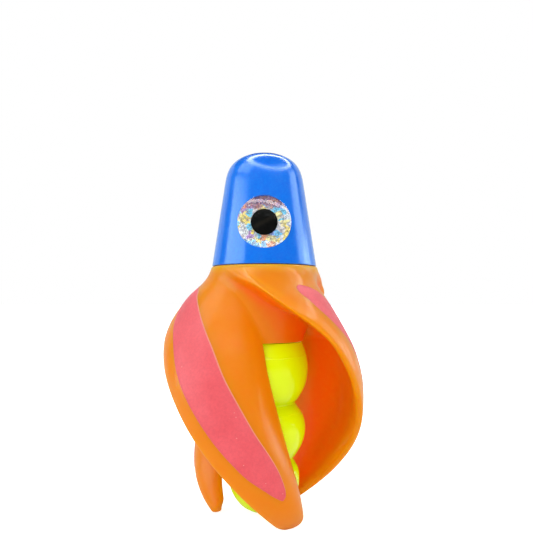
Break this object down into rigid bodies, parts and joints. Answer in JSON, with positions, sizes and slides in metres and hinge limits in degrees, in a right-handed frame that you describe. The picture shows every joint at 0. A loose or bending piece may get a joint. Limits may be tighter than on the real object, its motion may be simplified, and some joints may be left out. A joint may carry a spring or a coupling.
{
  "type": "spinning trolling lure",
  "caption": "Spinning fishing lure: a rounded nose cap with eyes on a rotor of helical striped vanes, turning about a line tube and a core of merged beads.",
  "frame": {"origin": "on the rotor's axis, level with the tips of the vanes that the lure stands on", "axes": "+Z along the line from the tail to the nose, -Y to the front eye, +X to the right of the front view"},
  "size_m": [0.0231, 0.0225, 0.0424],
  "materials": {
    "orange_plastic": "translucent moulded orange, soft gloss",
    "blue_plastic": "polished opaque blue",
    "pink_plastic": "satin coral pink with fine speckle",
    "chartreuse_plastic": "glossy fluorescent yellow-green",
    "eye_foil": "crinkled holographic foil film",
    "eye_pupil": "printed gloss black",
    "eye_resin": "clear epoxy dome",
    "tube_steel": "bright drawn stainless tube",
    "washer_steel": "stamped stainless",
    "eyelet_brass": "rolled brass",
    "bush_nylon": "natural nylon"
  },
  "bodies": {
    "spindle": {"line_tube": "tube_steel", "nose_eyelet": "eyelet_brass", "tail_eyelet": "eyelet_brass", "thrust_washer": "washer_steel"},
    "rotor": {"vane_rotor": "orange_plastic", "nose_cap": "blue_plastic", "stripe_inlay_1": "pink_plastic", "stripe_inlay_2": "pink_plastic", "stripe_inlay_3": "pink_plastic", "eye_foil_front": "eye_foil", "eye_foil_back": "eye_foil", "eye_pupil_front": "eye_pupil", "eye_pupil_back": "eye_pupil", "eye_dome_front": "eye_resin", "eye_dome_back": "eye_resin", "hub_bush": "bush_nylon", "nose_bush": "bush_nylon"},
    "beads": {"bead_core": "chartreuse_plastic"}
  },
  "joints": [
    {"name": "rotor_spin", "type": "hinge", "parent": "spindle", "child": "rotor", "pos_m": [0, 0, 0.0292], "axis": [0, 0, 1], "continuous": true},
    {"name": "bead_spin", "type": "hinge", "parent": "spindle", "child": "beads", "pos_m": [0, 0, 0.0104], "axis": [0, 0, 1], "continuous": true}
  ]
}
